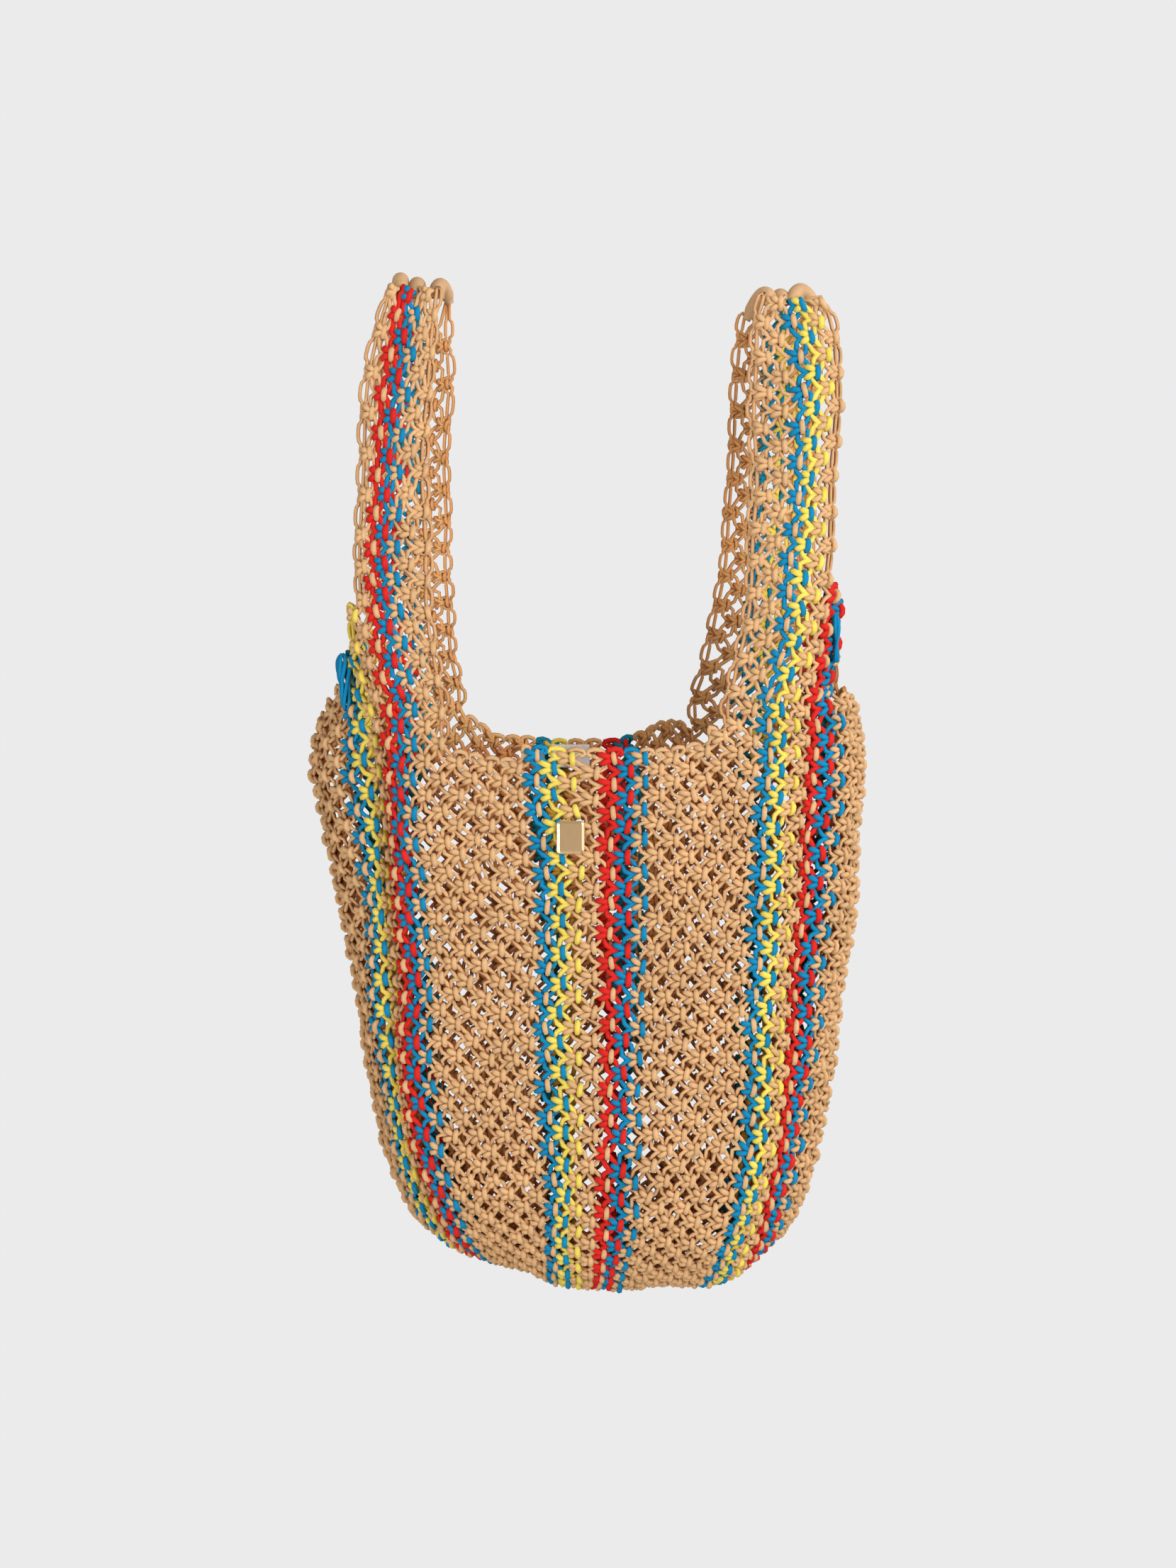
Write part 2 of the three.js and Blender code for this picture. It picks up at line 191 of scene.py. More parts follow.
def bottomLengths(pairs):  # length of the rounded bottom from the wall to the seam
    start = sectionPoints(pairs, np.full(np.shape(pairs), float(bagForm["bottomStart"])))
    seam = seamPoints(pairs)
    level = np.hypot(start[..., 0] - seam[..., 0], start[..., 1])
    upright = start[..., 2] - seam[..., 2]
    return math.pi / 4 * (3 * (level + upright) - np.sqrt((3 * level + upright) * (level + 3 * upright)))


def bodyPoints(pairs, drops):
    wall = sectionPoints(pairs, np.minimum(drops, bagForm["bottomStart"]))
    seam = seamPoints(pairs)
    turn = np.clip((drops - bagForm["bottomStart"]) / bagForm["bottomArc"], 0, 1) * math.pi / 2
    sideways = (np.cos(turn) + 1 - np.sin(turn)) / 2
    x = seam[..., 0] + (wall[..., 0] - seam[..., 0]) * sideways
    y = wall[..., 1] * np.cos(turn)
    z = wall[..., 2] + (seam[..., 2] - wall[..., 2]) * np.sin(turn)
    return np.stack([x, y, z], axis=-1)


def legName(front, facing):
    return ("left" if front < 0 else "right") + ("Front" if facing < 0 else "Back")


def byLeg(front, facing, value):  # the value of the leg that each place lies on
    left = np.where(facing < 0, value("leftFront"), value("leftBack"))
    right = np.where(facing < 0, value("rightFront"), value("rightBack"))
    return np.where(front < 0, left, right)


def legPoints(pairs, drops):
    front, facing = foldPairs(pairs)
    inner, outer = strapForm["innerPair"], strapForm["outerPair"]
    fromOuter = (outer - np.abs(front)) / (outer - inner)
    column = lambda values: smoothAt(strapForm["drop"], values, drops)
    edge = lambda i: byLeg(front, facing, lambda leg: column(strapForm["edges"][leg][i]))
    curls = strapForm["curlOut"]
    curlOut = np.where((front < 0) & (facing < 0), column(curls["leftFront"]), column(curls["others"]))
    curl = np.where(fromOuter < 0.5, curlOut, column(strapForm["curlIn"]))
    depth = column(strapForm["depth"]) - curl * (2 * fromOuter - 1) ** 2
    crowding = byLeg(front, facing, lambda leg: column(strapForm["crowding"][leg]))
    reach = fromOuter - crowding * fromOuter * (1 - fromOuter)
    reach = np.where((facing > 0) & (fromOuter < 0), fromOuter * strapForm["backOverhang"], reach)
    outerEdge, innerEdge = edge(0), edge(1)
    x = outerEdge + (innerEdge - outerEdge) * reach
    return np.stack([x, facing * depth, -drops], axis=-1)


bottomRow = float(np.interp(bagForm["bottomStart"], netRows["body"][1], netRows["body"][0]))


def bottomShares(pairs, rows):  # how far round the bottom a row lies, 1 at the seam
    past, soft = np.maximum(rows - bottomRow, 0), netRows["bottomSoft"]
    easing = (netRows["bodyHeight"] - netRows["bottomHeight"]) * soft * (1 - np.exp(-past / soft))
    return (netRows["bottomHeight"] * past + easing) / bottomLengths(pairs)


def legDrops(name, rows):
    stations, drops = netRows[name]
    return np.interp(rows, stations, drops) + np.minimum(rows - stations[0], 0) * netRows["headHeight"]


def rowDrops(pairs, rows):
    front, facing = foldPairs(pairs)
    drops = np.interp(rows, *netRows["body"])
    last, rim = netRows["leftFront"][0][-1], netRows["backRimRow"]
    share = smoothStep(*netRows["legPairs"], np.abs(front)) * (rows < last)
    drops = drops + (byLeg(front, facing, lambda leg: legDrops(leg, rows)) - drops) * share
    settle = np.interp(front, *netRows["backRim"]) * np.clip((last - rows) / (last - rim), 0, 1)
    drops = drops + np.where((facing > 0) & (np.abs(front) < strapForm["innerPair"]), settle, 0)
    bottom = bagForm["bottomStart"] + bagForm["bottomArc"] * bottomShares(pairs, rows)
    return np.where(rows > bottomRow, bottom, drops)


def netPoints(pairs, rows):  # a place in the net, by pair across and half-row down
    front, _ = foldPairs(pairs)
    drops = rowDrops(pairs, rows)
    body = bodyPoints(pairs, np.maximum(drops, bagForm["drop"][0]))
    body[..., 2] = np.where(drops < bagForm["drop"][0], -drops, body[..., 2])
    toStrap = 1 - smoothStep(strapForm["blendFrom"], strapForm["blendTo"], drops)
    toStrap = toStrap * (1 - smoothStep(*strapForm["blendPairs"], np.abs(front)))
    return body + (legPoints(pairs, drops) - body) * toStrap[..., None]


def netNormals(pairs, rows, step=0.05):
    alongPair = netPoints(pairs + step, rows) - netPoints(pairs - step, rows)
    alongRow = netPoints(pairs, rows + step) - netPoints(pairs, rows - step)
    normals = np.cross(alongRow, alongPair)
    return normals / np.maximum(np.linalg.norm(normals, axis=-1, keepdims=True), tiny)


# Slow waves in the hand-knotted net: size, cycles around the bag, turn for each row, and start
netWaves = {
    "across": [(0.09, 11, 0.37, 0.0), (0.07, -7, 0.83, 1.3)],
    "down": [(0.12, 8, 0.23, 0.4), (0.08, 15, -0.31, 2.2)],
    "outward": [(0.9, 6, -0.27, 0.7), (0.6, 12, 0.51, 1.9)],
}


def netWave(name, pairs, rows):
    around = 2 * math.pi / bagForm["pairsAround"]
    return sum(size * np.sin(cycles * around * pairs + turn * rows + start)
               for size, cycles, turn, start in netWaves[name])


# Knots: each joins two neighbouring pairs. The cords' paths run in pairs across, half-rows up, lifts out
# and share of the thickness
knotForm = {
    "frontCord": [
        (0.74, 0.37, 0.3, 0.8), (0.53, 0.17, 0.4, 0.82), (0.3, 0.09, 0.45, 0.86), (0.1, 0.12, 0.85, 0.95),
        (-0.12, 0.21, 1.1, 1.1), (-0.29, 0.3, 0.85, 1.08), (-0.38, 0.31, 0.15, 0.88),
        (-0.37, 0.13, -0.55, 0.8), (-0.37, -0.13, -0.55, 0.8), (-0.38, -0.31, 0.15, 0.88),
        (-0.29, -0.3, 0.85, 1.08), (-0.12, -0.21, 1.1, 1.1), (0.1, -0.12, 0.85, 0.95),
        (0.3, -0.09, 0.45, 0.86), (0.53, -0.17, 0.4, 0.82), (0.74, -0.37, 0.3, 0.8),
    ],
    "barCord": [
        (-0.82, 0.28, 0.3, 0.8), (-0.56, 0.09, 0.4, 0.82), (-0.25, 0.02, 0.3, 0.86), (0, 0.06, -0.75, 0.8),
        (0.25, 0.22, -0.6, 0.8), (0.37, 0.36, 0.1, 0.9), (0.36, 0.3, 0.95, 1.02), (0.35, 0.13, 1.4, 1.1),
        (0.36, -0.13, 1.4, 1.1), (0.37, -0.3, 0.95, 1.02), (0.37, -0.36, 0.1, 0.9), (0.25, -0.22, -0.6, 0.8),
        (0, -0.06, -0.75, 0.8), (-0.25, -0.02, 0.3, 0.86), (-0.56, -0.09, 0.4, 0.82), (-0.82, -0.28, 0.3, 0.8),
    ],
    "leftFiller": [(-0.07, 0.38, 0, 0.85), (-0.13, -0.4, 0, 0.85)],
    "rightFiller": [(0.07, 0.36, 0, 0.85), (0.01, -0.4, 0.05, 0.85)],
    "edgeLoop": [
        (0.75, 0.15, 0.35, 0.85), (0.95, 0.35, 0.3, 0.9), (0.85, 0.6, 0.3, 0.95), (0.55, 0.7, 0.35, 1),
        (0.25, 0.62, 0.25, 0.95), (0.1, 0.5, 0.1, 0.85),
    ],
    "openLoop": [(-0.56, 0.6, -1.2), (-0.4, 2, -1.5), (-0.18, 2.4, -1.5),
                 (0.18, 2.4, -1.5), (0.4, 2, -1.5), (0.56, 0.6, -1.2)],
    "openThickness": 0.74,
    "seamEnds": [(0.4, -0.5, 0.85), (0.6, -0.5, 0.85)],
    "edgeReach": 0.6,
    "edgeLift": 0.6,
    "cords": {"sand": (3.0, 1), "blue": (3.2, 0.45), "yellow": (3.45, 0.45), "red": (3.55, 0.45)},
    "frontStrap": 1.08,
    "backStrap": 0.92,
    "strapFade": 40,
    "cordSides": 6,
    "lift": 2.55,
    "leastWidth": 6,
    "spreadPower": 0.8,
    "closePower": 0.6,
    "shiftSpread": 0.045,
    "turnSpread": 0.11,
    "sizeSpread": 0.05,
    "liftSpread": 0.3,
}

# Stripe colours by place in each repeat of the pairs, the rest is sand
stripes = {"period": 14, "colours": {-3: "blue", -2: "yellow", 1: "red", 2: "blue"}}

# Top edge: drop of the top of each pair's first loop, by pair out from the middle
topEdge = {
    "pair": [0.5, 2.5, 3.5, 4.5, 5.5, 6.5, 7.5, 15.5, 16.5, 17.5, 18.5, 19.5, 20.5],
    "leftFront": [277, 277, 277.3, 277.5, 277, 274.5, 272, 190, 207, 232, 242, 250, 256],
    "rightFront": [277, 278, 277, 275.5, 270.5, 267.5, 262, 181, 195, 223, 234, 244, 251],
    "leftBack": [196, 212, 234, 243, 250, 256],
    "rightBack": [188, 203, 226, 236, 244, 251],
    "toFirstRow": 5.5,
    "settleRounds": 8,
}

half = bagForm["pairsAround"] // 2
pairList = np.arange(-half, half)
centres = pairList + 0.5
centreFront, centreFacing = foldPairs(centres)
inStrap = (np.abs(centreFront) > strapForm["innerPair"]) & (np.abs(centreFront) < strapForm["outerPair"])
legs = [legName(front, facing) for front, facing in zip(centreFront, centreFacing)]


def partnerOf(index, row):  # the neighbour that a pair is knotted with, and if that is its right one
    toRight = bool((pairList[index] + row) % 2 == 0)
    return (index + (1 if toRight else -1)) % len(pairList), toRight


def firstRows():
    edges = [np.interp(abs(front), topEdge["pair"][-len(topEdge[leg]):], topEdge[leg])
             for front, leg in zip(centreFront, legs)]
    heads = [strapForm["headDrop"][leg] for leg in legs]
    drops = np.where(inStrap, heads, np.array(edges) + topEdge["toFirstRow"])
    tries = np.arange(*netRows["firstTries"])
    missed = [np.abs(rowDrops(centres, np.full(len(centres), float(row))) - drops) for row in tries]
    rows = tries[np.argmin(missed, axis=0)]
    rows[(centreFacing > 0) & (np.abs(centreFront) < strapForm["innerPair"])] = netRows["backRimRow"]
    for _ in range(topEdge["settleRounds"]):  # off the straps a pair starts where a neighbour can join it
        for index in np.flatnonzero(~inStrap):
            other, _ = partnerOf(index, rows[index])
            rows[index] += int(rows[other] > rows[index])
    return rows


def lastRows():
    tries = np.arange(*netRows["lastTries"])
    shares = np.array([bottomShares(centres, np.full(len(centres), float(row))) for row in tries])
    return tries[np.sum(shares <= netRows["lastShare"], axis=0) - 1]


topRow, endRow = firstRows(), lastRows()
print("net rows:", topRow.min(), "to", endRow.max())


def colourOf(pair):  # the back shows the same stripes as the front at the same place across
    front, _ = foldPairs(pair + 0.5)
    period = stripes["period"]
    place = (int(math.floor(front)) + period // 2) % period - period // 2
    return stripes["colours"].get(place, "sand")


rowBase = int(topRow.min())
rowCount = int(endRow.max()) - rowBase + 1
knotChance = chance.normal(size=(rowCount, len(pairList), 5))  # shift across and up, turn, lift and size


def measureRows():  # distance between half-rows at each knot
    pairs, rows = np.meshgrid(np.arange(len(pairList)) + 1.0, rowBase + np.arange(rowCount, dtype=float))
    return np.linalg.norm(netPoints(pairs, rows + 0.5) - netPoints(pairs, rows - 0.5), axis=-1)


rowHeights = measureRows()


def knotPath(part, leftPair, row):  # one cord's way through the knot of leftPair and its right neighbour
    place = row - rowBase, leftPair % len(pairList)
    shiftAcross, shiftUp, turn, lift, size = knotChance[place]
    turn *= knotForm["turnSpread"]
    size = 1 + knotForm["sizeSpread"] * size
    stretch = netRows["bodyHeight"] / max(rowHeights[place], netRows["bottomHeight"])
    stretch **= knotForm["spreadPower" if stretch < 1 else "closePower"]  # knots keep most of their height
    points = np.array(knotForm[part], float)
    a = (points[:, 0] * math.cos(turn) - points[:, 1] * math.sin(turn)) * size
    b = (points[:, 0] * math.sin(turn) + points[:, 1] * math.cos(turn)) * size
    across = leftPair + 1 + a + knotForm["shiftSpread"] * shiftAcross
    down = row - (b + knotForm["shiftSpread"] * shiftUp) * stretch
    out = points[:, 2] * knotForm["lift"] + knotForm["liftSpread"] * lift
    return np.column_stack([across, down, out, points[:, 3]])


def pairWidth(pair, row):
    low, high = netPoints(np.array([pair, pair + 1.0]), np.full(2, float(row)))
    return max(np.linalg.norm(high - low), knotForm["leastWidth"])


def floatPath(pair, row, toRight, cord):  # an edge pair that skips a knot hangs in a long open loop
    down, outer, inner = np.array(knotForm["openLoop"], float).T
    reach = (outer if (cord == 1) == toRight else inner) / pairWidth(pair, row)
    across = pair + 0.5 + (reach if toRight else -reach)
    thickness = np.full(len(down), knotForm["openThickness"])
    return np.column_stack([across, row + down, np.zeros(len(down)), thickness])


def turnIn(across, pair, row, toRight):  # cords at an open edge stay close to the knot
    reach = knotForm["edgeReach"] / pairWidth(pair, row)
    return np.maximum(across, pair + 0.5 - reach) if toRight else np.minimum(across, pair + 0.5 + reach)


def pairPaths(index):  # both cords of a pair, from its top to the seam
    pair = int(pairList[index])
    cords = ([], [])
    for row in range(topRow[index], endRow[index] + 1):
        other, toRight = partnerOf(index, row)
        if topRow[other] <= row <= endRow[other]:
            leftPair = pair if toRight else pair - 1
            parts = ("barCord", "leftFiller") if toRight else ("rightFiller", "frontCord")
            for cord, part in zip(cords, parts):
                path = knotPath(part, leftPair, row)
                if topRow[partnerOf(index, row + 1)[0]] > row:
                    path[:, 0] = turnIn(path[:, 0], pair, row, toRight)
                    path[:, 2] *= knotForm["edgeLift"]
                cord.append(path)
        else:
            cords[0].append(floatPath(pair, row, toRight, 0))
            cords[1].append(floatPath(pair, row, toRight, 1))
    seamRow = endRow[index] + 1
    ends = [[pair + across, seamRow, lift, share] for across, lift, share in knotForm["seamEnds"]]
    return [np.vstack(cord + [np.array([end], float)]) for cord, end in zip(cords, ends)]


def topLoop(index):  # the fold of a pair over the top edge
    pair, row = int(pairList[index]), topRow[index]
    _, toRight = partnerOf(index, row)
    loop = np.array(knotForm["edgeLoop"], float)
    if toRight:
        loop[:, 0] *= -1
    else:
        loop = loop[::-1]
    knot = pair + 1 if toRight else pair
    squeeze = min(netRows["bodyHeight"] / rowHeights[row - rowBase, pair % len(pairList)], 1)
    across, down = knot + loop[:, 0], row - loop[:, 1] * squeeze
    if topRow[partnerOf(index, row + 1)[0]] > row:
        across = turnIn(across, pair, row, toRight)
    return np.column_stack([across, down, loop[:, 2] * knotForm["lift"], loop[:, 3]])


# Painted shade of the cords by millimetres out from the middle of the net: plain outside, darkest painted
# shade between the knots, warm painted shade inside, and paler painted light where the back is open. The front
# straps count a little more as outside
shadeForm = {
    "paintedShades": [(1.7, (1, 1, 1)), (-0.12, (0.48, 0.22, 0.09)), (-1.6, (1, 0.68, 0.45)), (-3, (1, 0.68, 0.45)),
              (-4.3, (1.06, 1.04, 0.88))],
    "open": 2.1,
    "frontOpen": 0.15,
    "rim": (272, 292),
    "openBack": -0.8,
    "backContrast": 2.5,
}

# Trim that presses the knots flat behind it
trim = {
    "plate": np.array(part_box("front_plate")) / mm,
    "label": np.array(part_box("inner_label")) / mm,
    "margin": 2.5,
}


def behindTrim(points, box):
    low, high = box[0] - trim["margin"], box[1] + trim["margin"]
    within = np.all(((points > low) & (points < high))[:, [0, 2]], axis=1)
    return within & (np.sign(points[:, 1]) == np.sign(box[0][1]))


def toSpace(path, colour):
    pairs, rows, lift, share = path.T
    pairs, rows = pairs + netWave("across", pairs, rows), rows + netWave("down", pairs, rows)
    places = netPoints(pairs, rows)
    fadeFrom = strapForm["blendFrom"] - knotForm["strapFade"]
    inLeg = 1 - smoothStep(fadeFrom, strapForm["blendTo"], -places[:, 2])
    _, facing = foldPairs(pairs)
    legShare = np.where(facing < 0, knotForm["frontStrap"], knotForm["backStrap"])
    diameter, evenness = knotForm["cords"][colour]
    radius = (1 + (share - 1) * evenness) * diameter / 2 * (1 + (legShare - 1) * inLeg)
    # painted shade and light: openness sets the level that the painted shade is read from, so open legs turn
    # paler and the back rim takes painted shade
    inRim = 1 - smoothStep(*shadeForm["rim"], -places[:, 2])
    openness = np.where(facing < 0, inLeg * shadeForm["frontOpen"], np.maximum(inLeg, inRim))
    level = lift + (np.where(facing < 0, shadeForm["open"], shadeForm["openBack"]) - lift) * openness
    contrast = 1 + shadeForm["backContrast"] * openness * (facing > 0)
    lift = lift + netWave("outward", pairs, rows)
    plateSeat = abs(trim["plate"][1][1]) - radius - np.abs(places[:, 1])
    lift = np.where(behindTrim(places, trim["plate"]), np.minimum(lift, plateSeat), lift)
    labelSeat = trim["label"][1][1] + radius - places[:, 1]
    lift = np.where(behindTrim(places, trim["label"]), np.maximum(lift, labelSeat), lift)
    normals = netNormals(pairs, rows)
    points = places + normals * lift[:, None]
    # the returned lift is the painted shade level, and the normals are scaled only to widen that painted shade
    # on the back
    return {"points": points, "normals": normals * contrast[:, None], "lift": level, "radius": radius}


# Crown: thread-wrapped bundles that arch from the front leg to the back leg, each with its place across
# in front and behind, the heights of its back end and middle, and its thickness at the back
crownForm = {
    "left": [(-109.8, -110.5, -18, -2.8, 9.5), (-100.4, -99.6, -18, -5.5, 9.5), (-88.8, -81.5, -15, -5.5, 8)],
    "right": [(106.5, 93.5, -24.5, -11.5, 8.5), (113.5, 111.5, -18, -12, 9.5), (119.5, 134.5, -15, -8.4, 8)],
    "frontFoot": {"left": (-11, -13.7), "right": (-12.2, -17.7)},
    "backFoot": 14,
    "diameter": 10,
    "threadPitch": 1.1,
    "threadDepth": 0.22,
    "taper": 0.4,
    "taperFrom": 0.8,
    "lean": 1.5,
    "roughSteps": 60,
    "stepsPerTurn": 4,
    "sides": 18,
    "headShares": [(0.26, 0.1), (0.86, 0.96)],
    "gather": 0.4,
    "gatherLimit": 2,
    "headSteps": (1.0, 2.0),
}


def archPoints(hand, bundle, along):
    front, back, backZ, middleZ, _ = bundle
    start = np.array([front, *crownForm["frontFoot"][hand]], float)
    end = np.array([back, crownForm["backFoot"], backZ], float)
    along = np.asarray(along, float)
    points = start + (end - start) * ((1 - np.cos(math.pi * along)) / 2)[..., None]
    points[..., 0] = front + (back - front) * along ** crownForm["lean"]
    points[..., 2] += (middleZ - (start[2] + backZ) / 2) * np.sin(math.pi * along)
    return points


def crownHead(index, cord, top):  # a strap cord's way up into its bundle
    hand = "left" if centreFront[index] < 0 else "right"
    foot = 0 if centreFacing[index] < 0 else 1
    bundle = min(crownForm[hand], key=lambda one: abs(one[foot] - top[0]))
    inside = archPoints(hand, bundle, crownForm["headShares"][foot])
    limit = crownForm["gatherLimit"]
    inside[:, 0] += np.clip((top[0] - bundle[foot]) * crownForm["gather"], -limit, limit)
    inside[1, 1] += centreFacing[index] * crownForm["headSteps"][cord]
    return inside


def allCords():
    found = []
    for index, pair in enumerate(pairList):
        first, second = pairPaths(index)
        colour = colourOf(pair)
        if inStrap[index]:
            for cord, path in enumerate((first, second)):
                placed = toSpace(path, colour)
                head = crownHead(index, cord, placed["points"][0])
                placed["points"] = np.vstack([head, placed["points"]])
                placed["normals"] = np.vstack([placed["normals"][:1]] * len(head) + [placed["normals"]])
                # the heads in the crowns take the painted shade of the middle of the net
                placed["lift"] = np.concatenate([np.zeros(len(head)), placed["lift"]])
                placed["radius"] = np.concatenate([placed["radius"][[0] * len(head)], placed["radius"]])
                found.append((int(pair), placed))
        else:
            found.append((int(pair), toSpace(np.vstack([first[::-1], topLoop(index), second]), colour)))
    return found


def freePath(points, radius):  # a path of its own that lies on the outside of the bag, with the plain outside level of the painted shade
    count = len(points)
    level = np.full(count, shadeForm["paintedShades"][0][0])
    radius = np.broadcast_to(np.asarray(radius, float), (count,))
    return {"points": points, "normals": np.zeros((count, 3)), "lift": level, "radius": radius}


def sweepCords(paths, sides):  # round cords along many paths
    lengths = np.array([len(path["lift"]) for path in paths])
    longest = lengths.max()
    level = lambda values: np.concatenate([values, np.repeat(values[-1:], longest - len(values), axis=0)])
    column = lambda key: np.stack([level(path[key]) for path in paths])
    points, normals, lift, radius = [column(key) for key in ("points", "normals", "lift", "radius")]
    steps = np.arange(longest)
    ahead = np.minimum(steps[None] + 1, lengths[:, None] - 1)
    behind = np.minimum(np.maximum(steps - 1, 0)[None], lengths[:, None] - 2)
    pick = lambda where: np.take_along_axis(points, where[..., None], axis=1)
    tangents = pick(ahead) - pick(behind)
    tangents /= np.maximum(np.linalg.norm(tangents, axis=-1, keepdims=True), tiny)
    across = np.zeros_like(points)
    side = np.cross(tangents[:, 0], [0.31, 0.83, 0.46])  # any start that no path runs along
    for i in steps:  # the section turns no more than the path does
        along = tangents[:, i]
        side = side - along * np.sum(side * along, axis=-1, keepdims=True)
        side /= np.maximum(np.linalg.norm(side, axis=-1, keepdims=True), tiny)
        across[:, i] = side
    third = np.cross(tangents, across)
    angles = np.arange(sides) * 2 * math.pi / sides
    rings = across[:, :, None] * np.cos(angles)[:, None] + third[:, :, None] * np.sin(angles)[:, None]
    vertices = points[:, :, None] + rings * radius[:, :, None, None]
    # the painted shade level of each vertex, from the path's level and the side of the cord facing out or in
    outward = lift[:, :, None] + np.sum(rings * normals[:, :, None], axis=-1) * radius[:, :, None]
    travelled = np.cumsum(np.linalg.norm(np.diff(points, axis=1, prepend=points[:, :1]), axis=-1), axis=1)
    return {"vertices": vertices, "lengths": lengths, "travelled": travelled, "outward": outward}


def cordMesh(name, swept):  # one mesh of many swept cords with capped ends, and a UV map around and along
    vertices, quads, caps, uvs, outward = [], [], [], [], []
    sides = swept["vertices"].shape[2]
    around = np.arange(sides)
    base = 0
    for strand, length in enumerate(swept["lengths"]):
        vertices.append(swept["vertices"][strand, :length].reshape(-1, 3))
        outward.append(swept["outward"][strand, :length].ravel())
        ring = base + np.arange(length - 1)[:, None] * sides
        low, high = ring + around, ring + (around + 1) % sides
        quads.append(np.stack([low, high, high + sides, low + sides], axis=-1).reshape(-1, 4))
        along = swept["travelled"][strand, :length]
        start, end = along[:-1, None] + 0 * around, along[1:, None] + 0 * around
        left, right = around / sides + 0 * start, (around + 1) / sides + 0 * start
        uvs.append(np.stack([left, start, right, start, right, end, left, end], axis=-1).reshape(-1, 2))
        caps.append(base + around[::-1])
        caps.append(base + (length - 1) * sides + around)
        base += length * sides
    quads, caps = np.concatenate(quads), np.stack(caps)
    mesh = bpy.data.meshes.new(name)
    corners = np.concatenate([quads.ravel(), caps.ravel()])
    starts = np.concatenate([np.arange(len(quads)) * 4, quads.size + np.arange(len(caps)) * sides])
    mesh.vertices.add(base)
    mesh.vertices.foreach_set("co", (np.concatenate(vertices) * mm).ravel())
    mesh.loops.add(len(corners))
    mesh.loops.foreach_set("vertex_index", corners.astype(np.int32))
    mesh.polygons.add(len(starts))
    mesh.polygons.foreach_set("loop_start", starts.astype(np.int32))
    mesh.update(calc_edges=True)
    layer = mesh.uv_layers.new(name="cord")
    flat = np.concatenate([np.concatenate(uvs), np.zeros((caps.size, 2))])
    layer.uv.foreach_set("vector", flat.ravel().astype(np.float32))
    # the painted shade level of each vertex, read by the cord finish
    level = mesh.attributes.new("outward", "FLOAT", "POINT")
    level.data.foreach_set("value", np.concatenate(outward).astype(np.float32))
    mesh.shade_smooth()
    return mesh


def meshFrom(shape, name):
    mesh = bpy.data.meshes.new(name)
    shape.to_mesh(mesh)
    shape.free()
    return mesh


def addPiece(name, mesh, finish, nodes):
    piece = bpy.data.objects.new(name, mesh)
    bpy.context.scene.collection.objects.link(piece)
    mesh.materials.append(finish)
    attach(piece, "root")
    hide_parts(*nodes)
    return piece


def setInputs(node, values):
    for name, value in values.items():
        node.inputs[name].default_value = value


def newFinish(name, values):
    material = bpy.data.materials.new(name)
    material.use_nodes = True
    nodes, links = material.node_tree.nodes, material.node_tree.links
    setInputs(nodes["Principled BSDF"], values)
    return material, nodes, links, nodes["Principled BSDF"]


def addNode(nodes, kind, values):
    node = nodes.new(kind)
    setInputs(node, values)
    return node


def addRamp(nodes, stops):  # stops run from low to high
    ramp = nodes.new("ShaderNodeValToRGB")
    elements = ramp.color_ramp.elements
    for element, (place, colour) in zip(elements, (stops[0], stops[-1])):
        element.position = place
        element.color = (*colour, 1)
    for place, colour in stops[1:-1]:
        elements.new(place).color = (*colour, 1)
    return ramp


# Finishes, with colours as seen in daylight
finishes = {
    "sand": {"colour": (0.62, 0.39, 0.198), "sheen": 0.05, "slot": "sand_cord"},
    "blue": {"colour": (0.003, 0.215, 0.44), "sheen": 0.02, "slot": "blue_cord"},
    "yellow": {"colour": (0.73, 0.6, 0.107), "sheen": 0.05, "slot": "yellow_cord"},
    "red": {"colour": (0.60, 0.018, 0.014), "sheen": 0.02, "slot": "red_cord"},
    "thread": {"colour": (0.57, 0.365, 0.2), "sheen": 0.1, "slot": "wrap_thread"},
}
cordLook = {
    "roughness": 0.7,
    "specular": 0.1,
    "sheenRoughness": 0.4,
    "patches": {"Scale": 60, "Detail": 3},
    "patchShades": [(0.3, 0.88), (0.7, 1.06)],
    "twists": (1.885, 0.36, 1),  # three twists around, 1.7 mm apart along
    "waver": {"Scale": 1, "Distortion": 0.6},
    "raised": {"Strength": 0.16, "Distance": 0.0003},
}


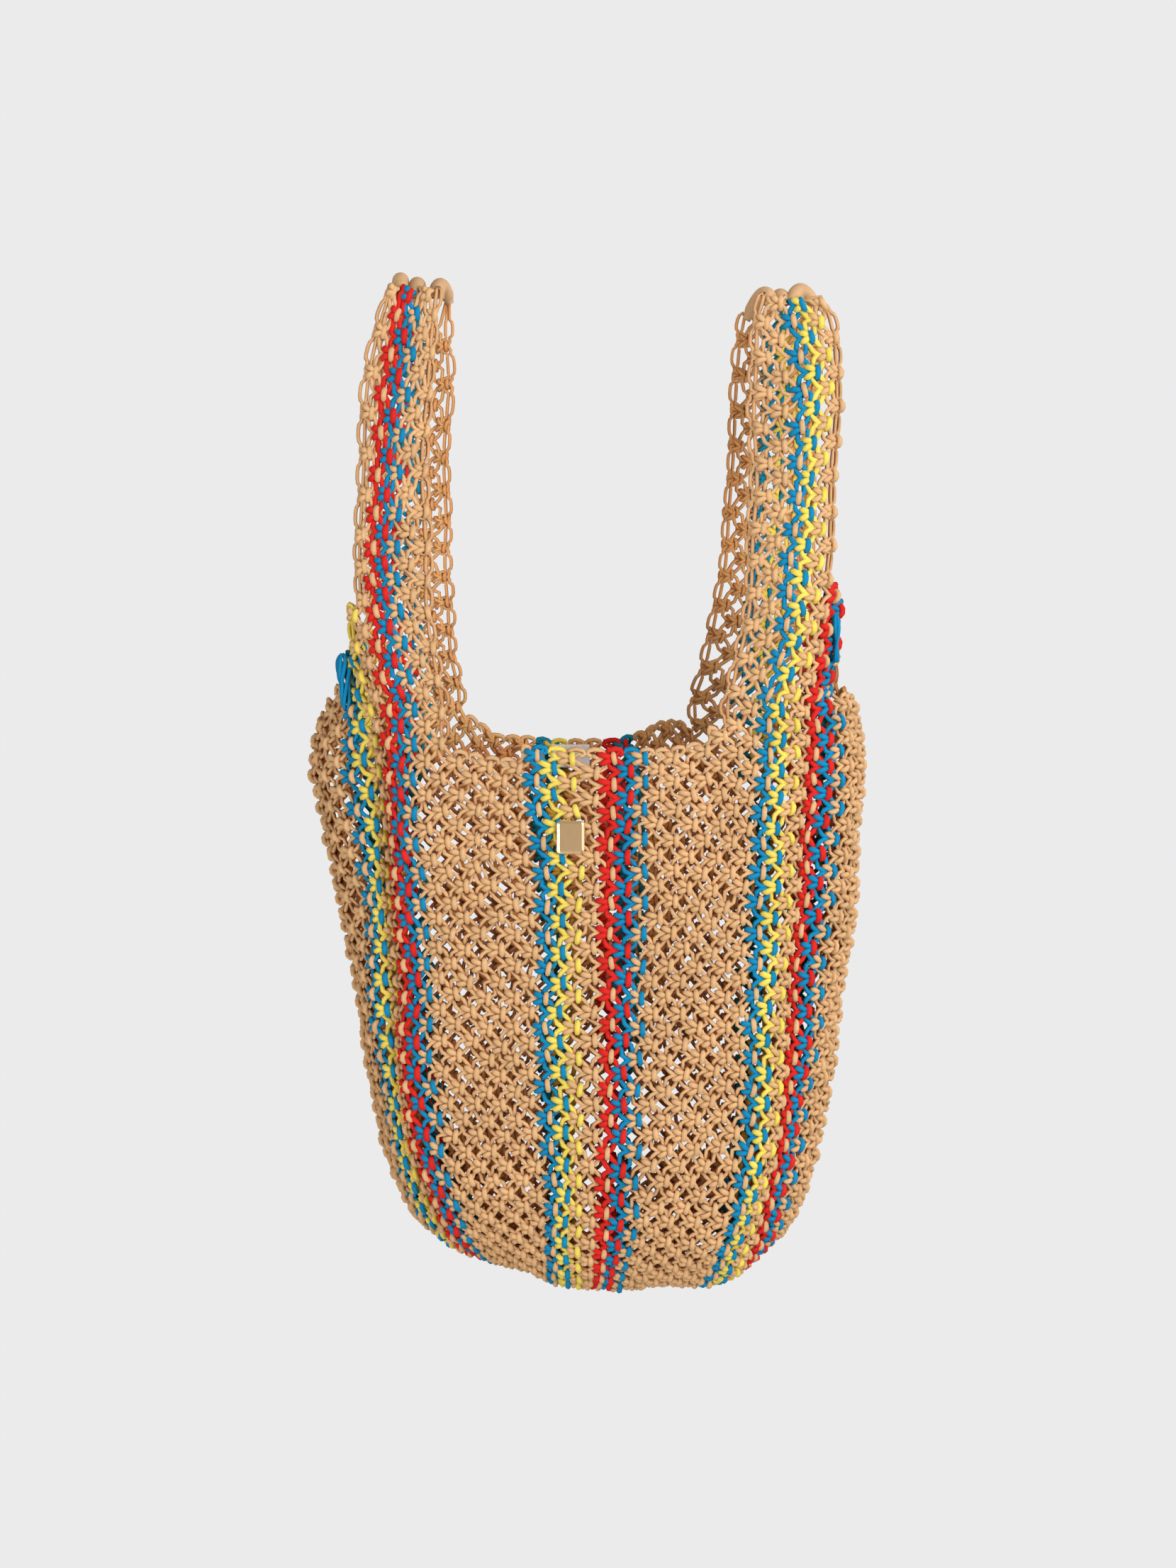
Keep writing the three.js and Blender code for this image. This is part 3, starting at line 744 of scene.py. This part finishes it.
def cordFinish(name, colour, sheen):
    material, nodes, links, shader = newFinish(name, {
        "Roughness": cordLook["roughness"],
        "Specular IOR Level": cordLook["specular"] + sheen,
        "Sheen Weight": sheen,
        "Sheen Roughness": cordLook["sheenRoughness"],
    })
    place = nodes.new("ShaderNodeTexCoord")
    patches = addNode(nodes, "ShaderNodeTexNoise", cordLook["patches"])
    links.new(place.outputs["Object"], patches.inputs["Vector"])
    shadeOf = lambda share: [min(c * share, 1) for c in colour]
    shades = addRamp(nodes, [(at, shadeOf(share)) for at, share in cordLook["patchShades"]])
    links.new(patches.outputs["Fac"], shades.inputs["Fac"])
    # painted shade: the colour is multiplied by a tint picked by each vertex's level, darkest between the
    # knots, warm inside and paler where the back is open
    level = nodes.new("ShaderNodeAttribute")
    level.attribute_name = "outward"
    outer, inner = shadeForm["paintedShades"][0][0], shadeForm["paintedShades"][-1][0]
    inward = addNode(nodes, "ShaderNodeMapRange", {"From Min": outer, "From Max": inner})
    links.new(level.outputs["Fac"], inward.inputs["Value"])
    paintedShades = addRamp(nodes, [((out - outer) / (inner - outer), tint) for out, tint in shadeForm["paintedShades"]])
    links.new(inward.outputs["Result"], paintedShades.inputs["Fac"])
    darker = nodes.new("ShaderNodeMix")
    darker.data_type = "RGBA"
    darker.blend_type = "MULTIPLY"
    setInputs(darker, {"Factor": 1})
    links.new(paintedShades.outputs["Color"], darker.inputs["B"])
    links.new(shades.outputs["Color"], darker.inputs["A"])
    links.new(darker.outputs["Result"], shader.inputs["Base Color"])
    stretch = addNode(nodes, "ShaderNodeMapping", {"Scale": cordLook["twists"]})
    links.new(place.outputs["UV"], stretch.inputs["Vector"])
    braid = addNode(nodes, "ShaderNodeTexWave", cordLook["waver"])
    braid.bands_direction = "DIAGONAL"
    links.new(stretch.outputs["Vector"], braid.inputs["Vector"])
    raised = addNode(nodes, "ShaderNodeBump", cordLook["raised"])
    links.new(braid.outputs["Fac"], raised.inputs["Height"])
    links.new(raised.outputs["Normal"], shader.inputs["Normal"])
    return material


materials = {
    name: cordFinish(name + "Cord", finish["colour"], finish["sheen"])
    for name, finish in finishes.items()
}

cords = allCords()
print("cords:", len(cords), "points:", sum(len(path["lift"]) for _, path in cords))

netNodes = ["body_net", "strap_left_front", "strap_left_back", "strap_right_front", "strap_right_back"]
sandParts = {
    "sandFrontLeft": (-21, 0),
    "sandFrontRight": (0, 21),
    "sandBackRight": (21, 42),
    "sandBackLeft": (-42, -21),
}


def addNet():
    sides = knotForm["cordSides"]
    for name, (low, high) in sandParts.items():
        paths = [path for pair, path in cords if colourOf(pair) == "sand" and low <= pair < high]
        mesh = cordMesh(name, sweepCords(paths, sides))
        addPiece(name, mesh, materials["sand"], netNodes)
    for colour in ("blue", "yellow", "red"):
        name = colour + "Stripes"
        paths = [path for pair, path in cords if colourOf(pair) == colour]
        mesh = cordMesh(name, sweepCords(paths, sides))
        addPiece(name, mesh, materials[colour], netNodes)


addNet()
print("net built")


def addCrowns():
    for hand in ("left", "right"):
        for i, bundle in enumerate(crownForm[hand]):
            rough = archPoints(hand, bundle, np.linspace(0, 1, crownForm["roughSteps"]))
            length = np.linalg.norm(np.diff(rough, axis=0), axis=1).sum()
            steps = int(length / crownForm["threadPitch"] * crownForm["stepsPerTurn"])
            along = np.linspace(0, 1, steps)
            path = archPoints(hand, bundle, along)
            ridges = np.cos(np.arange(steps) * 2 * math.pi / crownForm["stepsPerTurn"])
            radius = np.linspace(crownForm["diameter"], bundle[4], steps) / 2
            radius *= 1 - crownForm["taper"] * smoothStep(crownForm["taperFrom"], 1, along)
            radius -= crownForm["threadDepth"] * (0.5 - 0.5 * ridges)
            name = "crown" + hand.capitalize() + str(i + 1)
            mesh = cordMesh(name, sweepCords([freePath(path, radius)], crownForm["sides"]))
            addPiece(name, mesh, materials["thread"], [f"crown_{hand}_{i + 1}"])


addCrowns()
print("crowns built")

# Blue cord ends bundled at the edges of the armholes: top and bottom of each bundle, its thickness and
# its number of cords
wrapForm = {
    "left": ((-142.5, -39, -221), (-140, -36.5, -254), 9.6, 8),
    "right": ((144, -36, -198), (144.5, -33, -226), 4.6, 4),
    "cord": 2.7,
    "twist": 2.2,
    "shares": (0, 0.06, 0.14, 0.28, 0.42, 0.54, 0.66, 0.8, 0.92, 1),
    "fullness": (0.12, 0.62, 0.86, 1, 0.92, 0.62, 0.74, 0.8, 0.6, 0.15),
    "thinnest": 0.5,
    "wander": 0.6,
    "wanderAlong": 5,
    "wanderAround": 3,
    "steps": 22,
}


def addWrap(hand):
    top, bottom, diameter, count = wrapForm[hand]
    reach = np.array(bottom, float) - np.array(top, float)
    axis = reach / np.linalg.norm(reach)
    side = np.cross(axis, [0, 1, 0])
    side /= np.linalg.norm(side)
    along = np.linspace(0, 1, wrapForm["steps"])[:, None]
    fullness = np.interp(along, wrapForm["shares"], wrapForm["fullness"])
    spread = (diameter - wrapForm["cord"]) / 2 * fullness
    paths = []
    for start in np.arange(count) * 2 * math.pi / count:
        angle = start + wrapForm["twist"] * along
        around = np.cos(angle) * side + np.sin(angle) * np.cross(axis, side)
        path = np.array(top) + reach * along + spread * around
        sway = np.sin(wrapForm["wanderAlong"] * along + wrapForm["wanderAround"] * start)
        thin = wrapForm["thinnest"]
        radius = wrapForm["cord"] / 2 * (thin + (1 - thin) * fullness[:, 0])
        paths.append(freePath(path + side * wrapForm["wander"] * sway, radius))
    name = "wrap" + hand.capitalize()
    mesh = cordMesh(name, sweepCords(paths, knotForm["cordSides"]))
    addPiece(name, mesh, materials["blue"], [f"wrap_{hand}"])


addWrap("left")
addWrap("right")
print("wraps built")

# Small gold plate on the front, sizes in metres
plateForm = {
    "corner": 0.0022,
    "cornerSegments": 5,
    "rim": 0.0016,
    "recess": 0.0005,
    "edge": 0.0003,
    "edgeSegments": 2,
    "sharpAngle": 0.9,
    "colour": (0.83, 0.61, 0.36),
    "grain": {"Scale": 900, "Detail": 4},
    "gloss": {"To Min": 0.3, "To Max": 0.4},
}


def goldFinish():
    metal = {"Base Color": (*plateForm["colour"], 1), "Metallic": 1}
    material, nodes, links, shader = newFinish("paleGold", metal)
    place = nodes.new("ShaderNodeTexCoord")
    brushed = addNode(nodes, "ShaderNodeTexNoise", plateForm["grain"])
    links.new(place.outputs["Object"], brushed.inputs["Vector"])
    gloss = addNode(nodes, "ShaderNodeMapRange", plateForm["gloss"])
    links.new(brushed.outputs["Fac"], gloss.inputs["Value"])
    links.new(gloss.outputs["Result"], shader.inputs["Roughness"])
    return material


def addPlate():
    low, high = np.array(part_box("front_plate"))
    shape = bmesh.new()
    bmesh.ops.create_cube(shape, size=1)
    bmesh.ops.scale(shape, verts=shape.verts, vec=high - low)
    bmesh.ops.translate(shape, verts=shape.verts, vec=(low + high) / 2)
    upright = [e for e in shape.edges if abs((e.verts[0].co - e.verts[1].co).y) > tiny]
    bmesh.ops.bevel(shape, geom=upright, offset=plateForm["corner"], segments=plateForm["cornerSegments"],
                    profile=0.5, affect="EDGES", material=-1)
    face = min(shape.faces, key=lambda f: f.calc_center_median().y)
    bmesh.ops.inset_region(shape, faces=[face], thickness=plateForm["rim"])
    bmesh.ops.translate(shape, verts=face.verts, vec=(0, plateForm["recess"], 0))
    sharp = [e for e in shape.edges if e.is_manifold and e.calc_face_angle() > plateForm["sharpAngle"]]
    bmesh.ops.bevel(shape, geom=sharp, offset=plateForm["edge"], segments=plateForm["edgeSegments"],
                    profile=0.5, affect="EDGES", material=-1)
    bmesh.ops.recalc_face_normals(shape, faces=shape.faces)
    addPiece("frontPlate", meshFrom(shape, "frontPlate"), goldFinish(), ["front_plate"])


addPlate()

# Plain label strip inside the back edge of the mouth, sizes in metres
labelForm = {
    "columns": 16,
    "rows": 10,
    "wave": 0.0004,
    "waveTurn": 9,
    "waveStart": 2,
    "thickness": 0.0006,
    "rise": 0.0025,
    "colour": (0.68, 0.68, 0.67),
    "ribShade": 0.9,
    "ribs": {"Scale": 700},
    "cloth": {"Roughness": 0.55, "Sheen Weight": 0.3},
}


def tapeFinish():
    material, nodes, links, shader = newFinish("satinTape", labelForm["cloth"])
    place = nodes.new("ShaderNodeTexCoord")
    ribs = addNode(nodes, "ShaderNodeTexWave", labelForm["ribs"])
    ribs.bands_direction = "X"
    links.new(place.outputs["Object"], ribs.inputs["Vector"])
    colour = labelForm["colour"]
    shades = addRamp(nodes, [(0, [c * labelForm["ribShade"] for c in colour]), (1, colour)])
    links.new(ribs.outputs["Fac"], shades.inputs["Fac"])
    links.new(shades.outputs["Color"], shader.inputs["Base Color"])
    return material


def addLabel():
    low, high = np.array(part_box("inner_label"))
    middle, (width, _, length) = (low + high) / 2, high - low
    shape = bmesh.new()
    bmesh.ops.create_grid(shape, x_segments=labelForm["columns"], y_segments=labelForm["rows"], size=0.5)
    for corner in shape.verts:
        across, up = corner.co.x, corner.co.y
        bow = labelForm["wave"] * math.sin(labelForm["waveTurn"] * across + labelForm["waveStart"])
        bow *= 0.5 - up  # the top edge is sewn flat
        corner.co = middle + (across * width, bow, labelForm["rise"] + up * length)
    bmesh.ops.recalc_face_normals(shape, faces=shape.faces)
    bmesh.ops.solidify(shape, geom=shape.faces[:], thickness=labelForm["thickness"])
    mesh = meshFrom(shape, "innerLabel")
    mesh.shade_smooth()
    label = addPiece("innerLabel", mesh, tapeFinish(), ["inner_label"])


addLabel()
print("plate and label built")

# Pale floor and surroundings, soft light from the right, and the camera
studio = {
    "floorZ": -1.0,
    "domeRadius": 9.0,
    "domeSegments": (48, 24),
    "shade": 0.83,
    "ambient": {"Color": (1, 0.81, 0.62, 1), "Strength": 0.32},
}


def paleFinish():
    material, _, _, _ = newFinish("paleSurroundings", {
        "Base Color": (0, 0, 0, 1),
        "Specular IOR Level": 0,
        "Emission Color": (studio["shade"],) * 3 + (1,),
        "Emission Strength": 1,
    })
    return material


def addSurroundings():  # a pale dome on a pale floor that the camera sees, and that gives the bag no light
    shape = bmesh.new()
    around, upward = studio["domeSegments"]
    bmesh.ops.create_uvsphere(shape, u_segments=around, v_segments=upward, radius=studio["domeRadius"])
    bmesh.ops.bisect_plane(shape, geom=shape.verts[:] + shape.edges[:] + shape.faces[:],
                           plane_co=(0, 0, studio["floorZ"]), plane_no=(0, 0, -1), clear_outer=True)
    bmesh.ops.holes_fill(shape, edges=[e for e in shape.edges if e.is_boundary])
    mesh = meshFrom(shape, "surroundings")
    mesh.materials.append(paleFinish())
    surroundings = bpy.data.objects.new("surroundings", mesh)
    surroundings.visible_diffuse = False
    surroundings.visible_glossy = False
    surroundings.visible_shadow = False
    bpy.context.scene.collection.objects.link(surroundings)
    world = bpy.data.worlds.new("studio")
    bpy.context.scene.world = world
    world.use_nodes = True
    setInputs(world.node_tree.nodes["Background"], studio["ambient"])


# Place, aim, size and power of each light
lights = {
    "keyLight": ((1.45, -1.8, -0.1), (0, 0, -0.35), 1.1, 37),
    "fillLight": ((-1.9, -1.8, -1.5), (0, 0, -0.45), 1.6, 50),
    "sideLight": ((2.3, -0.5, -0.3), (0, 0, -0.36), 1, 10),
    "topLight": ((0.8, -1.2, 1.3), (0, 0.03, -0.27), 1.2, 22),
    "backLight": ((-0.8, 2.4, 0.3), (0, 0, -0.35), 1.6, 24),
}


def addLight(name, place, aim, size, power):
    lamp = bpy.data.lights.new(name, "AREA")
    lamp.size = size
    lamp.energy = power
    light = bpy.data.objects.new(name, lamp)
    light.location = place
    direction = np.array(aim) - np.array(place)
    direction = direction / np.linalg.norm(direction)
    light.rotation_euler = (math.acos(-direction[2]), 0, math.atan2(-direction[0], direction[1]))
    bpy.context.scene.collection.objects.link(light)


addSurroundings()
for name, (place, aim, size, power) in lights.items():
    addLight(name, place, aim, size, power)
bpy.context.scene.view_settings.view_transform = "Standard"

view = {"aimZ": -0.2986, "distance": 2.19, "elevation": math.radians(3), "lens": 85}


def addCamera():
    lens = bpy.data.cameras.new("photoCamera")
    lens.lens = view["lens"]
    camera = bpy.data.objects.new("photoCamera", lens)
    camera.location = (
        0,
        -view["distance"] * math.cos(view["elevation"]),
        view["aimZ"] + view["distance"] * math.sin(view["elevation"]),
    )
    camera.rotation_euler = (math.pi / 2 - view["elevation"], 0, 0)
    bpy.context.scene.collection.objects.link(camera)
    bpy.context.scene.camera = camera


addCamera()
print("floor, light and camera set")
